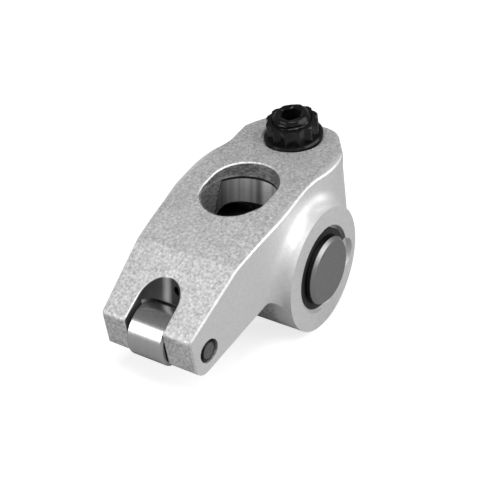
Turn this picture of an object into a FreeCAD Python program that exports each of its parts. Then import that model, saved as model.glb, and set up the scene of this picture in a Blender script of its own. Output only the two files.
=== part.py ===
import FreeCAD, Part
import math
import os
import re
import Sketcher

# Aluminium roller rocker arm, in millimetres, standing as it lies on a table.
# The origin is the centre of the trunnion, Y runs along the trunnion, X points from the
# roller nose towards the adjuster and Z points up, square to the table.

# Driving sizes
SIZES = {
    "overrun": 30.0,
    "frame_reach": 90.0,
    "front_reach": 75.0,
    "slab_depth": 22.0,
    "hub_radius": 15.75,
    "hub_width": 39.2,
    "hub_bore": 11.06,
    "flank_fillet": 2.8,
    "hub_land": 1.0,
    "edge_break": 0.35,
    "crown_radius": 150.0,
    "crown_front_x": -29.39,
    "crown_front_z": 12.33,
    "crown_flat_x": 6.0,
    "crown_flat_z": 21.94,
    "crown_rear_x": 36.0,
    "crown_rear_z": 26.59,
    "nose_x": -45.4,
    "nose_z": 1.18,
    "nose_round": 1.2,
    "chin_setback": 2.6,
    "chin_z": -10.12,
    "chin_round": 3.2,
    "under_slope": 0.345,
    "under_x": -19.31,
    "under_z": -2.02,
    "under_fillet": 3.2,
    "throat_x": -15.18,
    "throat_z": -4.19,
    "boss_bottom_z": -9.0,
    "nose_half_width": 12.05,
    "cheek_taper": 0.1,
    "cheek_rear_x": -17.0,
    "near_cheek_y": 15.05,
    "near_crest_x": -10.0,
    "near_crest_y": 15.3,
    "near_dip_x": -5.0,
    "near_dip_y": 15.05,
    "near_neck_x": 0.5,
    "near_neck_y": 14.95,
    "near_rise_x": 4.0,
    "near_rise_y": 15.5,
    "near_bulge_x": 19.2,
    "near_bulge_y": 13.3,
    "far_cheek_y": 14.7,
    "far_crest_x": -3.0,
    "far_crest_y": 15.7,
    "far_swell_x": 1.5,
    "far_swell_y": 15.35,
    "far_rise_x": 6.0,
    "far_rise_y": 14.25,
    "far_neck_x": 11.5,
    "far_neck_y": 13.62,
    "far_bulge_x": 19.2,
    "far_bulge_y": 14.0,
    "adjuster_x": 17.8,
    "adjuster_z": 23.2,
    "adjuster_tilt": 13.5,
    "rear_end": 7.0,
    "rear_near_taper": 0.72,
    "rear_near_corner": 4.08,
    "rear_near_corner_y": 10.64,
    "rear_near_end_y": 4.94,
    "rear_far_end_y": 6.15,
    "rear_far_corner": 4.13,
    "rear_far_corner_y": 11.55,
    "rear_shoulder": -1.5,
    "rear_far_shoulder_y": 14.3,
    "spotface_radius": 8.1,
    "spotface_depth": 0.35,
    "thread_radius": 4.76,
    "thread_clearance": 0.05,
    "window_centre_x": -7.06,
    "window_half_length": 10.22,
    "window_radius": 8.58,
    "window_floor_z": 17.9,
    "throat_half_length": 9.8,
    "throat_radius": 8.1,
    "foot_half_length": 10.6,
    "foot_radius": 8.8,
    "slot_centre_y": 0.45,
    "slot_width": 10.2,
    "slot_end_setback": 10.7,
    "roller_setback": 6.34,
    "roller_z": -3.75,
    "roller_radius": 6.35,
    "roller_side_gap": 0.2,
    "roller_room": 0.6,
    "roller_chamfer": 0.5,
    "pin_radius": 2.9,
    "pin_length": 25.4,
    "pin_chamfer": 0.6,
    "pin_running_gap": 0.04,
    "oil_hole_radius": 1.0,
    "trunnion_radius": 8.57,
    "trunnion_standout": 1.7,
    "trunnion_chamfer": 0.8,
    "trunnion_turn": 12.0,
    "bolt_hole_radius": 4.2,
    "seat_height": 7.6,
    "seat_half_length": 8.2,
    "needle_radius": 0.8,
    "needle_length": 6.4,
    "needle_chamfer": 0.2,
    "needle_gap": 0.02,
    "needle_count": 14,
    "cage_wall": 1.2,
    "cage_gap": 0.08,
    "cage_length": 7.6,
    "cage_pocket_gap": 0.04,
    "shell_inset": 1.4,
    "shell_length": 9.3,
    "shell_lip": 0.6,
    "shell_lip_radius": 9.35,
    "clip_inner_radius": 10.25,
    "clip_radius": 11.4,
    "clip_thickness": 0.8,
    "clip_inset": 0.5,
    "clip_side_gap": 0.05,
    "seal_inner_radius": 8.65,
    "seal_radius": 10.15,
    "seal_thickness": 0.9,
    "seal_inset": 0.4,
    "clip_opening_from": 18.0,
    "clip_opening_to": 92.0,
    "relief_x": 9.8,
    "relief_z": -0.5,
    "relief_radius": 4.15,
    "relief_depth": 1.4,
    "nut_flange_radius": 7.5,
    "nut_flange_height": 1.1,
    "nut_edge": 0.3,
    "nut_height": 5.6,
    "nut_skirt_height": 1.9,
    "nut_points_radius": 6.6,
    "nut_valley_radius": 5.85,
    "nut_thread_gap": 0.05,
    "nut_points": 12,
    "nut_land_angle": 1.5,
    "screw_above": 7.2,
    "screw_length": 46.3,
    "screw_chamfer": 0.9,
    "socket_across_flats": 4.76,
    "socket_depth": 4.5,
    "socket_turn": 20.0,
    "cup_radius": 3.4,
    "cup_depth": 1.7,
    "cup_ball_radius": 4.25,
    "cup_end_chamfer": 0.8,
    "foot_centre_x": 0.0,
    "oil_hole_y": -1.6,
    "oil_hole_z": 5.8,
    "oil_hole_length": 9.0,
    "hollow_front_setback": 15.0,
    "hollow_rear_x": -16.5,
    "hollow_half_width": 10.0,
    "hollow_roof_z": 7.5,
    "hollow_corner": 3.0,
}

document = FreeCAD.newDocument("rocker_arm")
sheet = document.addObject("Spreadsheet::Sheet", "Sizes")
for row, (size_name, size_value) in enumerate(SIZES.items(), start=1):
    sheet.set("A%d" % row, size_name)
    sheet.set("B%d" % row, str(size_value))
    sheet.setAlias("B%d" % row, size_name)
document.recompute()

UP = FreeCAD.Vector(0, 0, 1)
ALONG_Y = FreeCAD.Vector(0, 1, 0)
NEAR_SIDE = -1
FAR_SIDE = 1
WHOLE_TURN = 360.0
HEXAGON = 6
# Points looked at along an edge, and how near a line they have to lie
EDGE_POINTS = 9
ON_LINE = 1e-3
ON_TOP = 0.02
NEAR_CORNER = 0.1
NEARLY_ZERO = 1e-6
# What stands in the hub's end keeps its distance from the end face
HUB_END = "(hub_width / 2)"
SHELL_OUTER = "(hub_width / 2 - shell_inset)"
CLIP_OUTER = "(hub_width / 2 - clip_inset)"
SEAL_OUTER = "(hub_width / 2 - seal_inset)"
# What belongs to the nose keeps its distance from the nose's front
CHIN_X = "(nose_x + chin_setback)"
ROLLER_X = "(nose_x + roller_setback)"
SLOT_END_X = "(nose_x + slot_end_setback)"
HOLLOW_FRONT_X = "(nose_x + hollow_front_setback)"


# Expressions and their values
def bound(words):
    """Write size words, such as 'hub_width / 2', as an expression on the sheet."""
    return re.sub(r"[a-z_]+", lambda found: "Sizes." + found.group(0)
                  if found.group(0) in SIZES else found.group(0), words)


def value(words):
    """Number that an expression in size words stands for."""
    result = sheet.evalExpression(bound(words))
    return float(getattr(result, "Value", result))


# Sketch building
def plane(body, role):
    """Origin plane of a body by its role."""
    return next(item for item in body.Origin.OriginFeatures if item.Role == role)


def new_sketch(body, name, role, shift="0"):
    """Sketch on an origin plane, moved along the plane's normal by size words."""
    sketch = body.newObject("Sketcher::SketchObject", name)
    sketch.AttachmentSupport = [(plane(body, role), "")]
    sketch.MapMode = "FlatFace"
    sketch.AttachmentOffset = FreeCAD.Placement(FreeCAD.Vector(0, 0, value(shift)), FreeCAD.Rotation())
    if shift != "0":
        sketch.setExpression("AttachmentOffset.Base.z", bound(shift))
    return sketch


def hold(sketch, kind, geometry, vertex, words):
    """Fix one coordinate of a sketch point with an expression."""
    number = value(words)
    if abs(number) < NEARLY_ZERO:
        axis = -2 if kind == "DistanceX" else -1
        sketch.addConstraint(Sketcher.Constraint("PointOnObject", geometry, vertex, axis))
        return
    index = sketch.addConstraint(Sketcher.Constraint(kind, -1, 1, geometry, vertex, number))
    sketch.setExpression("Constraints[%d]" % index, bound(words))


def circle(sketch, x_words, y_words, radius_words):
    """Circle with its centre and radius held by size words."""
    centre = FreeCAD.Vector(value(x_words), value(y_words), 0)
    geometry = sketch.addGeometry(Part.Circle(centre, UP, value(radius_words)), False)
    index = sketch.addConstraint(Sketcher.Constraint("Radius", geometry, value(radius_words)))
    sketch.setExpression("Constraints[%d]" % index, bound(radius_words))
    hold(sketch, "DistanceX", geometry, 3, x_words)
    hold(sketch, "DistanceY", geometry, 3, y_words)


def arc_centre(start, end, bend, heading):
    """Centre of the arc from start to end and whether it turns left."""
    chord = end - start
    if bend == "smooth":
        left = FreeCAD.Vector(-heading.y, heading.x, 0)
        reach = chord.dot(chord) / (2 * chord.dot(left))
        return start + left * reach, reach > 0
    radius = value(bend)
    left = FreeCAD.Vector(-chord.y, chord.x, 0).normalize()
    rise = math.sqrt(max(radius ** 2 - chord.dot(chord) / 4, 0))
    return (start + end) * 0.5 + left * math.copysign(rise, radius), radius > 0


def outline(sketch, steps):
    """Closed outline of lines and arcs.

    Every step is a corner in size words and how the edge leading to it runs: None for a
    straight line, 'smooth' for an arc that leaves the edge before it without a corner, or
    a radius in size words, negative when the arc turns right."""
    corners = [FreeCAD.Vector(value(x), value(y), 0) for x, y, bend in steps]
    edges = []
    heading = None
    for number, (x_words, y_words, bend) in enumerate(steps):
        start, end = corners[number - 1], corners[number]
        if bend is None:
            geometry = sketch.addGeometry(Part.LineSegment(start, end), False)
            edges.append((geometry, 1, 2))
            heading = (end - start).normalize()
            continue
        centre, turns_left = arc_centre(start, end, bend, heading)
        first, last = (start, end) if turns_left else (end, start)
        angles = [math.atan2(point.y - centre.y, point.x - centre.x) for point in (first, last)]
        if angles[1] < angles[0]:
            angles[1] += 2 * math.pi
        ring = Part.Circle(centre, UP, (start - centre).Length)
        geometry = sketch.addGeometry(Part.ArcOfCircle(ring, angles[0], angles[1]), False)
        edges.append((geometry, 1, 2) if turns_left else (geometry, 2, 1))
        spoke = (end - centre).normalize()
        heading = FreeCAD.Vector(-spoke.y, spoke.x, 0) * (1 if turns_left else -1)
        if bend != "smooth":
            index = sketch.addConstraint(Sketcher.Constraint("Radius", geometry, ring.Radius))
            sketch.setExpression("Constraints[%d]" % index, "abs(%s)" % bound(bend))
    for number, (x_words, y_words, bend) in enumerate(steps):
        geometry, start_vertex, end_vertex = edges[number]
        before, unused, before_end = edges[number - 1]
        kind = "Tangent" if bend == "smooth" else "Coincident"
        sketch.addConstraint(Sketcher.Constraint(kind, before, before_end, geometry, start_vertex))
        hold(sketch, "DistanceX", geometry, end_vertex, x_words)
        hold(sketch, "DistanceY", geometry, end_vertex, y_words)


def rectangle_steps(low_x, low_y, high_x, high_y):
    """Steps of a plain rectangle."""
    return [(low_x, low_y, None), (high_x, low_y, None), (high_x, high_y, None), (low_x, high_y, None)]


def rounded_steps(low_x, low_y, high_x, high_y, corner):
    """Steps of a rectangle with rounded corners."""
    inner_low_x, inner_high_x = "%s + %s" % (low_x, corner), "%s - %s" % (high_x, corner)
    inner_low_y, inner_high_y = "%s + %s" % (low_y, corner), "%s - %s" % (high_y, corner)
    return [(inner_high_x, low_y, None), (high_x, inner_low_y, "smooth"),
            (high_x, inner_high_y, None), (inner_high_x, high_y, "smooth"),
            (inner_low_x, high_y, None), (low_x, inner_high_y, "smooth"),
            (low_x, inner_low_y, None), (inner_low_x, low_y, "smooth")]


def obround_steps(centre, half_length, radius):
    """Steps of a slot with round ends that lies along the sketch's first axis."""
    low = "%s - %s + %s" % (centre, half_length, radius)
    high = "%s + %s - %s" % (centre, half_length, radius)
    return [(high, "-" + radius, None), (high, radius, "smooth"),
            (low, radius, None), (low, "-" + radius, "smooth")]


# Features
def new_body(label):
    """Empty body that carries the node's name."""
    body = document.addObject("PartDesign::Body", label)
    body.Label = label
    return body


def feature(body, kind, name, sketch):
    """Feature made from a sketch."""
    made = body.newObject("PartDesign::" + kind, name)
    made.Profile = sketch
    sketch.Visibility = False
    return made


def pad(body, name, sketch, length_words, both_ways=True):
    """Solid drawn out from a sketch."""
    made = feature(body, "Pad", name, sketch)
    made.setExpression("Length", bound(length_words))
    made.Midplane = both_ways
    document.recompute()
    return made


def cut(body, name, sketch, length_words=None, both_ways=False, reverse=False):
    """Pocket cut from a sketch, right through when no depth is given."""
    volume = body.Shape.Volume
    made = feature(body, "Pocket", name, sketch)
    if length_words is None:
        made.Type = "ThroughAll"
    else:
        made.setExpression("Length", bound(length_words))
    made.Midplane = both_ways
    made.Reversed = reverse
    document.recompute()
    if body.Shape.Volume > volume - NEARLY_ZERO:
        raise RuntimeError(name + " cuts nothing")
    return made


def turn(body, kind, name, sketch, axis="V_Axis"):
    """Revolution or Groove of a sketch round one of its own axes."""
    made = feature(body, kind, name, sketch)
    made.ReferenceAxis = (sketch, [axis])
    made.Angle = WHOLE_TURN
    document.recompute()
    return made


def dress(body, kind, name, edges, size_words):
    """Fillet or Chamfer on the edges that a test picks."""
    base = body.Tip
    picked = ["Edge%d" % (number + 1) for number, edge in enumerate(base.Shape.Edges) if edges(edge)]
    made = body.newObject("PartDesign::" + kind, name)
    made.Base = (base, picked)
    made.setExpression("Radius" if kind == "Fillet" else "Size", bound(size_words))
    document.recompute()
    return made


def lean(item):
    """Set an item on the adjuster's leaning axis."""
    leaning = FreeCAD.Rotation(ALONG_Y, -value("adjuster_tilt"))
    foot = FreeCAD.Vector(value("adjuster_x"), 0, value("adjuster_z"))
    key = "AttachmentOffset" if item.TypeId.startswith("Sketcher") else "Placement"
    setattr(item, key, FreeCAD.Placement(foot, leaning))
    item.setExpression(key + ".Base.x", bound("adjuster_x"))
    item.setExpression(key + ".Base.z", bound("adjuster_z"))
    item.setExpression(key + ".Rotation.Angle", bound("-adjuster_tilt"))


# Rocker body: a deep slab with a hub across it, cut to the plan, the rear and the underside
SLAB = [
    ("nose_x", "nose_z", None),
    ("crown_front_x", "crown_front_z", None),
    ("crown_flat_x", "crown_flat_z", "-crown_radius"),
    ("crown_rear_x", "crown_rear_z", None),
    ("crown_rear_x", "-slab_depth", None),
    ("2 * %s - nose_x" % CHIN_X, "-slab_depth", None),
    ("2 * %s - nose_x" % CHIN_X, "2 * chin_z - nose_z", None),
]

PLAN_INSIDE = [
    ("nose_x - overrun", "-nose_half_width + overrun * cheek_taper", None),
    ("cheek_rear_x", "-near_cheek_y", None),
    ("near_crest_x", "-near_crest_y", "smooth"),
    ("near_dip_x", "-near_dip_y", "smooth"),
    ("near_neck_x", "-near_neck_y", "smooth"),
    ("near_rise_x", "-near_rise_y", "smooth"),
    ("near_bulge_x", "-near_bulge_y", "smooth"),
    ("near_bulge_x + overrun", "-near_bulge_y", None),
    ("near_bulge_x + overrun", "far_bulge_y", None),
    ("far_bulge_x", "far_bulge_y", None),
    ("far_neck_x", "far_neck_y", "smooth"),
    ("far_rise_x", "far_rise_y", "smooth"),
    ("far_swell_x", "far_swell_y", "smooth"),
    ("far_crest_x", "far_crest_y", "smooth"),
    ("cheek_rear_x", "far_cheek_y", "smooth"),
    ("nose_x - overrun", "nose_half_width - overrun * cheek_taper", None),
]

REAR_INSIDE = [
    ("rear_near_corner - overrun", "-rear_near_corner_y - overrun * rear_near_taper", None),
    ("rear_near_corner", "-rear_near_corner_y", None),
    ("rear_end", "-rear_near_end_y", "smooth"),
    ("rear_end", "rear_far_end_y", None),
    ("rear_far_corner", "rear_far_corner_y", "smooth"),
    ("rear_shoulder", "rear_far_shoulder_y", "smooth"),
    ("rear_shoulder", "overrun", None),
    ("-front_reach", "overrun", None),
    ("-front_reach", "-overrun", None),
]

UNDERCUT = [
    (CHIN_X + " - overrun", "chin_z - overrun * under_slope", None),
    ("under_x", "under_z", None),
    ("throat_x", "throat_z", "-under_fillet"),
    ("0", "boss_bottom_z", None),
    ("crown_rear_x + overrun", "boss_bottom_z", None),
    ("crown_rear_x + overrun", "-slab_depth - overrun", None),
    (CHIN_X + " - overrun", "-slab_depth - overrun", None),
]


def all_round(sketch):
    """Outer frame of a sketch that cuts away everything outside its inner outline."""
    outline(sketch, rectangle_steps("-frame_reach", "-frame_reach", "frame_reach", "frame_reach"))


def points_on(edge):
    """A few points spread along an edge."""
    return edge.discretize(EDGE_POINTS)


def hub_edge(edge):
    """Edge where the hub leaves a flank."""
    radius, half = value("hub_radius"), value("hub_width / 2")
    return all(abs(math.hypot(point.x, point.z) - radius) < ON_LINE and abs(point.y) < half - ON_LINE
               for point in points_on(edge))


def across(x_words, z_words):
    """Test for the edge that runs across the body at a place in the side view."""
    x, z = value(x_words), value(z_words)
    return lambda edge: all(math.hypot(point.x - x, point.z - z) < NEAR_CORNER for point in points_on(edge))


def crown_height(x):
    """Height of the top at a place along the body."""
    front = FreeCAD.Vector(value("crown_front_x"), value("crown_front_z"), 0)
    flat = FreeCAD.Vector(value("crown_flat_x"), value("crown_flat_z"), 0)
    if x < front.x:
        return front.y + (x - front.x) * (front.y - value("nose_z")) / (front.x - value("nose_x"))
    if x > flat.x:
        return flat.y + (x - flat.x) * (value("crown_rear_z") - flat.y) / (value("crown_rear_x") - flat.x)
    centre, turns_left = arc_centre(front, flat, "-crown_radius", None)
    return centre.y + math.sqrt(value("crown_radius") ** 2 - (x - centre.x) ** 2)


def rim_edge(edge):
    """Edge round the top face, the window or the roller slot, not a line across the top."""
    points = points_on(edge)
    straight_across = all(abs(point.x - points[0].x) < ON_LINE for point in points)
    on_top = all(abs(point.z - crown_height(point.x)) < ON_TOP for point in points)
    return on_top and not (straight_across and points[0].x < value("adjuster_x"))


def rim_edge_inside(edge):
    """Edge of the window or of the roller slot in the top face."""
    inside = value("window_radius + 3 * edge_break")
    return rim_edge(edge) and all(abs(point.y) < inside for point in points_on(edge))


def rocker_body():
    """One-piece body with its hub, window, roller slot and adjuster boss."""
    body = new_body("rocker_body")
    side = new_sketch(body, "side_view", "XZ_Plane")
    outline(side, SLAB)
    pad(body, "slab", side, "hub_width")
    dress(body, "Fillet", "nose_edge", across("nose_x", "nose_z"), "nose_round")

    plan = new_sketch(body, "plan", "XY_Plane")
    all_round(plan)
    outline(plan, PLAN_INSIDE)
    cut(body, "flanks", plan, both_ways=True)

    rear = new_sketch(body, "rear_plan", "XY_Plane")
    lean(rear)
    all_round(rear)
    outline(rear, REAR_INSIDE)
    cut(body, "rear_end", rear, both_ways=True)
    dress(body, "Chamfer", "rim", rim_edge, "edge_break")

    ring = new_sketch(body, "hub_ring", "XZ_Plane")
    circle(ring, "0", "0", "hub_radius")
    pad(body, "hub", ring, "hub_width")
    dress(body, "Fillet", "hub_root", hub_edge, "min(flank_fillet; %s - far_crest_y - hub_land)" % HUB_END)

    under = new_sketch(body, "underside", "XZ_Plane")
    outline(under, UNDERCUT)
    cut(body, "undercut", under, both_ways=True)
    barrel = new_sketch(body, "barrel_ring", "XZ_Plane")
    circle(barrel, "0", "0", "hub_radius")
    pad(body, "barrel", barrel, "hub_width")
    dress(body, "Fillet", "chin", across(CHIN_X, "chin_z"), "chin_round")

    hollow = new_sketch(body, "hollow_outline", "XY_Plane", "hollow_roof_z")
    outline(hollow, rounded_steps(HOLLOW_FRONT_X, "-hollow_half_width", "hollow_rear_x",
                                  "hollow_half_width", "hollow_corner"))
    cut(body, "nose_hollow", hollow)

    bore = new_sketch(body, "bearing_bore", "XZ_Plane")
    circle(bore, "0", "0", "hub_bore")
    cut(body, "bearing_seat", bore, both_ways=True)
    groove = new_sketch(body, "clip_groove_profile", "XY_Plane")
    for sign in ("-", ""):
        outline(groove, rectangle_steps("0", "%s(%s - clip_thickness - clip_side_gap)" % (sign, CLIP_OUTER),
                                        "clip_radius", "%s(%s + clip_side_gap)" % (sign, CLIP_OUTER)))
    turn(body, "Groove", "clip_grooves", groove)
    for name, shift, reverse in (("near", "hub_width / 2", False), ("far", "-hub_width / 2", True)):
        relief = new_sketch(body, name + "_relief_outline", "XZ_Plane", shift)
        circle(relief, "relief_x", "relief_z", "relief_radius")
        cut(body, name + "_relief", relief, "relief_depth", reverse=reverse)

    throat = new_sketch(body, "throat_outline", "XY_Plane")
    outline(throat, obround_steps("window_centre_x", "throat_half_length", "throat_radius"))
    cut(body, "throat", throat, reverse=True)
    window = new_sketch(body, "window_outline", "XY_Plane", "window_floor_z")
    outline(window, obround_steps("window_centre_x", "window_half_length", "window_radius"))
    cut(body, "window", window, reverse=True)
    foot = new_sketch(body, "foot_outline", "XY_Plane")
    outline(foot, obround_steps("foot_centre_x", "foot_half_length", "foot_radius"))
    cut(body, "foot_opening", foot)

    slot = new_sketch(body, "slot_outline", "XY_Plane")
    outline(slot, [("-overrun * 2", "slot_centre_y - slot_width / 2", None),
                   (SLOT_END_X + " - slot_width / 2", "slot_centre_y - slot_width / 2", None),
                   (SLOT_END_X + " - slot_width / 2", "slot_centre_y + slot_width / 2", "smooth"),
                   ("-overrun * 2", "slot_centre_y + slot_width / 2", None)])
    cut(body, "roller_slot", slot, both_ways=True)
    room = new_sketch(body, "roller_room_outline", "XZ_Plane", "-slot_centre_y")
    circle(room, ROLLER_X, "roller_z", "roller_radius + roller_room")
    cut(body, "roller_room", room, "slot_width", both_ways=True)
    pin = new_sketch(body, "pin_hole_outline", "XZ_Plane")
    circle(pin, ROLLER_X, "roller_z", "pin_radius")
    cut(body, "pin_hole", pin, both_ways=True)
    oil = new_sketch(body, "oil_hole_outline", "YZ_Plane", SLOT_END_X + " - slot_width / 2")
    circle(oil, "oil_hole_y", "oil_hole_z", "oil_hole_radius")
    cut(body, "oil_hole", oil, "oil_hole_length", reverse=True)

    dress(body, "Chamfer", "opening_rims", rim_edge_inside, "edge_break")

    seat = new_sketch(body, "spotface_outline", "XY_Plane")
    lean(seat)
    circle(seat, "0", "0", "spotface_radius")
    cut(body, "spotface", seat, reverse=True)
    thread = new_sketch(body, "thread_outline", "XY_Plane")
    lean(thread)
    circle(thread, "0", "0", "thread_radius + thread_clearance")
    cut(body, "adjuster_hole", thread, both_ways=True)
    return body


def round_profile(body, name, steps):
    """Solid of revolution round the Y axis from half its outline."""
    profile = new_sketch(body, name + "_profile", "XY_Plane")
    outline(profile, steps)
    return turn(body, "Revolution", name, profile)


def washer_steps(inner, outer, low, high):
    """Half outline of a plain ring along Y."""
    return rectangle_steps(inner, low, outer, high)


def trunnion():
    """Cross shaft with a bolt hole through it and two flat seats."""
    body = new_body("trunnion")
    end = "(%s + trunnion_standout)" % HUB_END
    steps = [("0", "-%s" % end, None),
             ("trunnion_radius - trunnion_chamfer", "-%s" % end, None),
             ("trunnion_radius", "-%s + trunnion_chamfer" % end, None),
             ("trunnion_radius", "%s - trunnion_chamfer" % end, None),
             ("trunnion_radius - trunnion_chamfer", end, None),
             ("0", end, None)]
    round_profile(body, "shaft", steps)
    hole = new_sketch(body, "bolt_outline", "XY_Plane")
    circle(hole, "0", "0", "bolt_hole_radius")
    cut(body, "bolt_hole", hole, both_ways=True)
    for name, reverse, sign in (("upper", True, ""), ("lower", False, "-")):
        seat = new_sketch(body, name + "_seat_outline", "XY_Plane", sign + "seat_height")
        outline(seat, rectangle_steps("-trunnion_radius", "-seat_half_length",
                                      "trunnion_radius", "seat_half_length"))
        cut(body, name + "_seat", seat, reverse=reverse)
    body.Placement = FreeCAD.Placement(FreeCAD.Vector(), FreeCAD.Rotation(ALONG_Y, -value("trunnion_turn")))
    body.setExpression("Placement.Rotation.Angle", bound("-trunnion_turn"))
    document.recompute()
    return body


def side_sign(side):
    """Size words' sign for the near or the far end of the trunnion."""
    return "-" if side == NEAR_SIDE else ""


def bearing_shell(side, label):
    """Drawn shell of a needle bearing, turned in at both ends."""
    body = new_body(label)
    low, high = SHELL_OUTER + " - shell_length", SHELL_OUTER
    lip_low, lip_high = low + " + shell_lip", high + " - shell_lip"
    sign = side_sign(side)
    steps = [("shell_lip_radius", "%s(%s)" % (sign, low), None),
             ("hub_bore", "%s(%s)" % (sign, low), None),
             ("hub_bore", "%s(%s)" % (sign, high), None),
             ("shell_lip_radius", "%s(%s)" % (sign, high), None),
             ("shell_lip_radius", "%s(%s)" % (sign, lip_high), None),
             (RACE, "%s(%s)" % (sign, lip_high), None),
             (RACE, "%s(%s)" % (sign, lip_low), None),
             ("shell_lip_radius", "%s(%s)" % (sign, lip_low), None)]
    round_profile(body, "shell", steps)
    return body


# Radii of the needle circle and of the race the needles run on
ORBIT = "(trunnion_radius + needle_gap + needle_radius)"
RACE = "(trunnion_radius + 2 * needle_gap + 2 * needle_radius)"
BEARING_MIDDLE = "(%s - shell_length / 2)" % SHELL_OUTER


def needle(side, label, angle_words):
    """One needle roller with chamfered ends."""
    body = new_body(label)
    end = "needle_length / 2"
    steps = [("0", "-%s" % end, None), ("needle_radius - needle_chamfer", "-%s" % end, None),
             ("needle_radius", "-%s + needle_chamfer" % end, None),
             ("needle_radius", "%s - needle_chamfer" % end, None),
             ("needle_radius - needle_chamfer", end, None), ("0", end, None)]
    round_profile(body, "roller", steps)
    place(body, "%s * cos(%s)" % (ORBIT, angle_words), "%s%s" % (side_sign(side), BEARING_MIDDLE),
          "%s * sin(%s)" % (ORBIT, angle_words))
    return body


def place(body, x_words, y_words, z_words):
    """Stand a body at a point given in size words."""
    for letter, words in (("x", x_words), ("y", y_words), ("z", z_words)):
        body.setExpression("Placement.Base." + letter, bound(words))
    document.recompute()


def cage(side, label):
    """Needle cage with one pocket for each needle."""
    body = new_body(label)
    middle = "%s%s" % (side_sign(side), BEARING_MIDDLE)
    inner, outer = "trunnion_radius + cage_gap", "trunnion_radius + cage_gap + cage_wall"
    round_profile(body, "ring", washer_steps(inner, outer, middle + " - cage_length / 2",
                                             middle + " + cage_length / 2"))
    pocket = new_sketch(body, "pocket_outline", "YZ_Plane")
    half_length, half_width = "needle_length / 2 + cage_pocket_gap", "needle_radius + cage_pocket_gap"
    outline(pocket, rectangle_steps("%s - (%s)" % (middle, half_length), "-(%s)" % half_width,
                                    "%s + %s" % (middle, half_length), half_width))
    first = cut(body, "pocket", pocket, "hub_bore", reverse=True)
    pattern = body.newObject("PartDesign::PolarPattern", "pockets")
    pattern.Originals = [first]
    pattern.Axis = (axis_line(body, "Y_Axis"), [""])
    pattern.Angle = WHOLE_TURN
    pattern.setExpression("Occurrences", bound("needle_count"))
    body.Tip = pattern
    document.recompute()
    return body


def axis_line(body, role):
    """Origin axis of a body by its role."""
    return next(item for item in body.Origin.OriginFeatures if item.Role == role)


def clip(side, label):
    """Open retaining ring that sits in a groove of the bore."""
    body = new_body(label)
    sign = side_sign(side)
    low = "%s(%s - clip_thickness)" % (sign, CLIP_OUTER)
    high = sign + CLIP_OUTER
    round_profile(body, "ring", washer_steps("clip_inner_radius", "clip_radius", low, high))
    gap = new_sketch(body, "gap_outline", "XZ_Plane")
    corners = [("0", "0", None)]
    for angle in ("clip_opening_from", "(clip_opening_from + clip_opening_to) / 2", "clip_opening_to"):
        corners.append(("overrun * cos(%s)" % angle, "overrun * sin(%s)" % angle, None))
    outline(gap, corners)
    cut(body, "gap", gap, both_ways=True)
    return body


def seal(side, label):
    """Flat seal between the retaining ring and the trunnion."""
    body = new_body(label)
    sign = side_sign(side)
    round_profile(body, "ring", washer_steps("seal_inner_radius", "seal_radius",
                                             "%s(%s - seal_thickness)" % (sign, SEAL_OUTER), sign + SEAL_OUTER))
    return body


def tip_roller():
    """Roller that runs on the valve tip."""
    body = new_body("tip_roller")
    half = "(slot_width / 2 - roller_side_gap)"
    bore = "pin_radius + pin_running_gap"
    steps = [(bore + " + roller_chamfer / 2", "-%s" % half, None),
             ("roller_radius - roller_chamfer", "-%s" % half, None),
             ("roller_radius", "-%s + roller_chamfer" % half, None),
             ("roller_radius", "%s - roller_chamfer" % half, None),
             ("roller_radius - roller_chamfer", half, None),
             (bore + " + roller_chamfer / 2", half, None),
             (bore, "%s - roller_chamfer / 2" % half, None),
             (bore, "-%s + roller_chamfer / 2" % half, None)]
    round_profile(body, "roller", steps)
    place(body, ROLLER_X, "slot_centre_y", "roller_z")
    return body


def roller_pin():
    """Pin pressed through both cheeks of the nose."""
    body = new_body("roller_pin")
    half = "pin_length / 2"
    steps = [("0", "-%s" % half, None),
             ("pin_radius - pin_chamfer", "-%s" % half, None),
             ("pin_radius", "-%s + pin_chamfer" % half, None),
             ("pin_radius", "%s - pin_chamfer" % half, None),
             ("pin_radius - pin_chamfer", half, None),
             ("0", half, None)]
    round_profile(body, "pin", steps)
    place(body, ROLLER_X, "0", "roller_z")
    return body


def upright_profile(body, name, steps):
    """Solid of revolution round the Z axis from half its outline."""
    profile = new_sketch(body, name + "_profile", "XZ_Plane")
    outline(profile, steps)
    return turn(body, "Revolution", name, profile)


def adjuster_screw():
    """Adjusting screw with a hexagon socket above and a pushrod cup below."""
    body = new_body("adjuster_screw")
    foot = "-(screw_length - screw_above)"
    upright_profile(body, "shank", [
        ("0", "%s + cup_depth" % foot, None),
        ("cup_radius", foot, "-cup_ball_radius"),
        ("thread_radius - cup_end_chamfer", foot, None),
        ("thread_radius", "%s + cup_end_chamfer" % foot, None),
        ("thread_radius", "screw_above - screw_chamfer", None),
        ("thread_radius - screw_chamfer", "screw_above", None),
        ("0", "screw_above", None)])
    socket = new_sketch(body, "socket_outline", "XY_Plane", "screw_above")
    corner = "socket_across_flats / sqrt(3)"
    angles = ["socket_turn + %d * 360 / %d" % (number, HEXAGON) for number in range(HEXAGON)]
    outline(socket, [("%s * cos(%s)" % (corner, angle), "%s * sin(%s)" % (corner, angle), None)
                     for angle in angles])
    cut(body, "socket", socket, "socket_depth")
    lean(body)
    document.recompute()
    return body


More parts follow.
